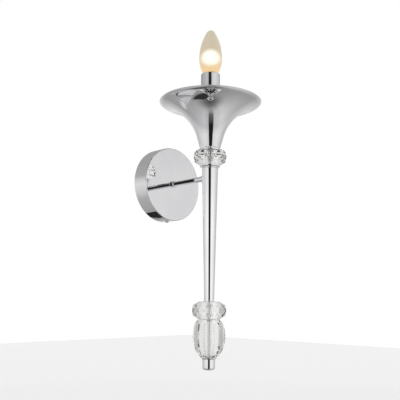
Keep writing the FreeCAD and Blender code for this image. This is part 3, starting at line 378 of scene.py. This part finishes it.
def screen_material(name, tone, sides, heights, lean):
    """Grey paper of one tone that covers as much as `sides` and `heights` say, and is clear elsewhere."""
    made = bpy.data.materials.new(name)
    made.use_nodes = True
    made.cycles.emission_sampling = "NONE"
    tree = made.node_tree
    tree.nodes.clear()
    place = add(tree, "ShaderNodeTexCoord")
    toward = add(tree, "ShaderNodeVectorMath", operation="NORMALIZE", values={0: place.outputs["Object"]})
    split = add(tree, "ShaderNodeSeparateXYZ", values={0: toward.outputs[0]})
    turn = maths(tree, "ARCTAN2", split.outputs["Y"], split.outputs["X"])
    share = maths(tree, "ADD", maths(tree, "DIVIDE", turn, 2 * math.pi), 0.5)
    shift = maths(tree, "MULTIPLY", maths(tree, "MAXIMUM", split.outputs["Z"], LEAN_END), lean)
    lift = maths(tree, "ADD", maths(tree, "MULTIPLY", split.outputs["Z"], 0.5), 0.5)
    cover = maths(tree, "MULTIPLY", ramp(tree, maths(tree, "ADD", share, shift), sides),
                  ramp(tree, lift, [(height / 2 + 0.5, strength) for height, strength in heights]))
    clear = add(tree, "ShaderNodeBsdfTransparent")
    paper = add(tree, "ShaderNodeEmission", values={"Color": (tone, tone, tone, 1.0), "Strength": 1.0})
    mixed = add(tree, "ShaderNodeMixShader", values={0: cover})
    tree.links.new(clear.outputs[0], mixed.inputs[1])
    tree.links.new(paper.outputs[0], mixed.inputs[2])
    out = add(tree, "ShaderNodeOutputMaterial")
    tree.links.new(mixed.outputs[0], out.inputs["Surface"])
    return made


def screen(name, tone, sides, heights, order, metal=True, glass=False, lean=0.0):
    """Soft edged grey screen far round the object, as a studio has, which shows only in metal or glass.

    sides and heights hold stops of (place, cover). A place is a share of the way round, where 0 is -X,
    0.25 is -Y (the room), 0.5 is +X and 0.75 is +Y (the wall), or a height on the unit sphere.
    """
    mesh = screen_mesh(name, sides, heights, SCREEN_DISTANCE - SCREEN_GAP * order, lean)
    mesh.materials.append(screen_material(name, tone, sides, heights, lean))
    piece = bpy.data.objects.new(name, mesh)
    bpy.context.collection.objects.link(piece)
    piece.location = (0.0, STEM_Y, 0.0)
    piece.visible_camera = False
    piece.visible_diffuse = False
    piece.visible_shadow = False
    piece.visible_glossy = metal
    piece.visible_transmission = glass


def screens():
    """Grey wings, skirt and ceiling, black pieces between them, and greys for the facets of the crystal."""
    all_round = [(0.0, 1.0), (1.0, 1.0)]
    screen("wings", 0.45, [(0.28, 0.0), (0.48, 0.92), (0.65, 0.4), (0.77, 0.82), (0.98, 0.0)],
           [(-0.45, 0.0), (-0.05, 1.0), (0.1, 1.0), (0.36, 0.0)], 0)
    screen("skirt", 0.25, [(0.0, 0.55), (0.08, 0.69), (0.34, 0.43), (0.61, 0.95), (0.8, 0.8), (1.0, 0.55)],
           [(-1.0, 1.0), (-0.45, 1.0), (0.0, 0.0)], 1)
    screen("ceiling", 0.3, [(0.0, 0.64), (0.06, 0.78), (0.27, 0.33), (0.6, 0.9), (0.8, 0.88), (1.0, 0.64)],
           [(0.08, 0.0), (0.34, 1.0), (1.0, 1.0)], 2)
    screen("under", 0.08, all_round, [(-1.0, 0.95), (-0.95, 0.4), (-0.9, 0.12), (-0.7, 0.0)], 3)
    screen("gap", 0.014, [(0.066, 0.0), (0.078, 1.0), (0.162, 1.0), (0.176, 0.0)],
           [(-0.96, 0.0), (-0.85, 0.75), (-0.56, 1.0), (0.36, 1.0), (0.6, 0.7)], 4, glass=True, lean=0.045)
    screen("canopy", 0.02, [(0.03, 0.0), (0.05, 1.0), (0.31, 1.0), (0.35, 0.0)],
           [(0.46, 0.0), (0.51, 1.0), (1.0, 1.0)], 5)
    screen("step", 0.03, [(0.61, 0.0), (0.65, 1.0), (0.745, 1.0), (0.765, 0.0)],
           [(-0.984, 0.0), (-0.972, 1.0), (-0.888, 1.0), (-0.856, 0.0)], 6)
    screen("facet_greys", 0.45,
           [(0.45, 0.3), (0.51, 0.87), (0.61, 0.0), (0.65, 0.0), (0.73, 0.91), (0.82, 0.15)],
           [(-1.0, 0.6), (-0.15, 1.0), (1.0, 1.0)], 0, metal=False, glass=True)


def soft_light(name, position, size, power):
    """Area lamp that points at the stem."""
    aim = Vector((0.0, STEM_Y, 0.0))
    lamp = bpy.data.lights.new(name, "AREA")
    lamp.shape = "RECTANGLE"
    lamp.size, lamp.size_y = size
    lamp.energy = power
    holder = bpy.data.objects.new(name, lamp)
    bpy.context.collection.objects.link(holder)
    holder.location = position
    holder.rotation_euler = (aim - Vector(position)).to_track_quat("-Z", "Y").to_euler()
    holder.visible_camera = False
    holder.visible_glossy = False
    holder.visible_transmission = False


def floor():
    """Pale floor well below the object."""
    mesh = bpy.data.meshes.new("floor")
    half, level = 14.0, -1.3
    corners = [(-half, -half, level), (half, -half, level), (half, half, level), (-half, half, level)]
    mesh.from_pydata(corners, [], [(0, 1, 2, 3)])
    mesh.materials.append(plain("pale_floor", (0.88, 0.88, 0.88), 0.8, grain=40, tint=0.008, bump=0.0))
    piece = bpy.data.objects.new("floor", mesh)
    bpy.context.collection.objects.link(piece)
    piece.visible_glossy = False
    piece.visible_transmission = False


def card(name, middle, half_width, half_height, colour):
    """Small upright card behind the wall plate, which shows in the plate's side."""
    corners = [(middle[0] + half_width * a, middle[1], middle[2] + half_height * b)
               for a, b in ((-1, -1), (1, -1), (1, 1), (-1, 1))]
    mesh = bpy.data.meshes.new(name)
    mesh.from_pydata(corners, [], [(0, 1, 2, 3)])
    mesh.materials.append(plain(name + "_paper", colour, 0.9, grain=60, bump=0.0))
    piece = bpy.data.objects.new(name, mesh)
    bpy.context.collection.objects.link(piece)
    piece.visible_camera = False
    piece.visible_transmission = False


def photo_camera():
    """Camera at the photograph's place: angles in radians, lens and shift in pixels of its 400 px frame."""
    azimuth, pitch, roll = -0.8052167, -0.1633015, 0.0088425
    position = (-0.64724, -0.70747, -0.18019)
    focal_px, frame_px, right_px, up_px = 608.6, 400, -0.55, 0.6
    level_back = math.cos(pitch)
    back = Vector((math.sin(azimuth) * level_back, -math.cos(azimuth) * level_back, math.sin(pitch)))
    right = Vector((math.cos(azimuth), math.sin(azimuth), 0.0))
    up = back.cross(right)
    turned_right = math.cos(roll) * right + math.sin(roll) * up
    turned_up = -math.sin(roll) * right + math.cos(roll) * up
    lens = bpy.data.cameras.new("photo_camera")
    lens.sensor_width = 36.0
    lens.lens = focal_px / frame_px * lens.sensor_width
    lens.clip_start = 0.05
    lens.shift_x, lens.shift_y = right_px / frame_px, up_px / frame_px
    holder = bpy.data.objects.new("photo_camera", lens)
    bpy.context.collection.objects.link(holder)
    columns = Matrix((turned_right, turned_up, back)).transposed().to_4x4()
    holder.matrix_world = Matrix.Translation(position) @ columns
    bpy.context.scene.camera = holder


white_world()
screens()
soft_light("key", (-1.4, -1.2, 1.3), (1.2, 1.2), 9.0)
soft_light("fill", (1.3, -1.3, 0.6), (1.0, 1.4), 5.0)
floor()
card("black_card", (0.038, 0.165, -0.215), 0.054, 0.035, (0.01, 0.01, 0.01))
photo_camera()
bpy.context.scene.view_settings.view_transform = "Standard"
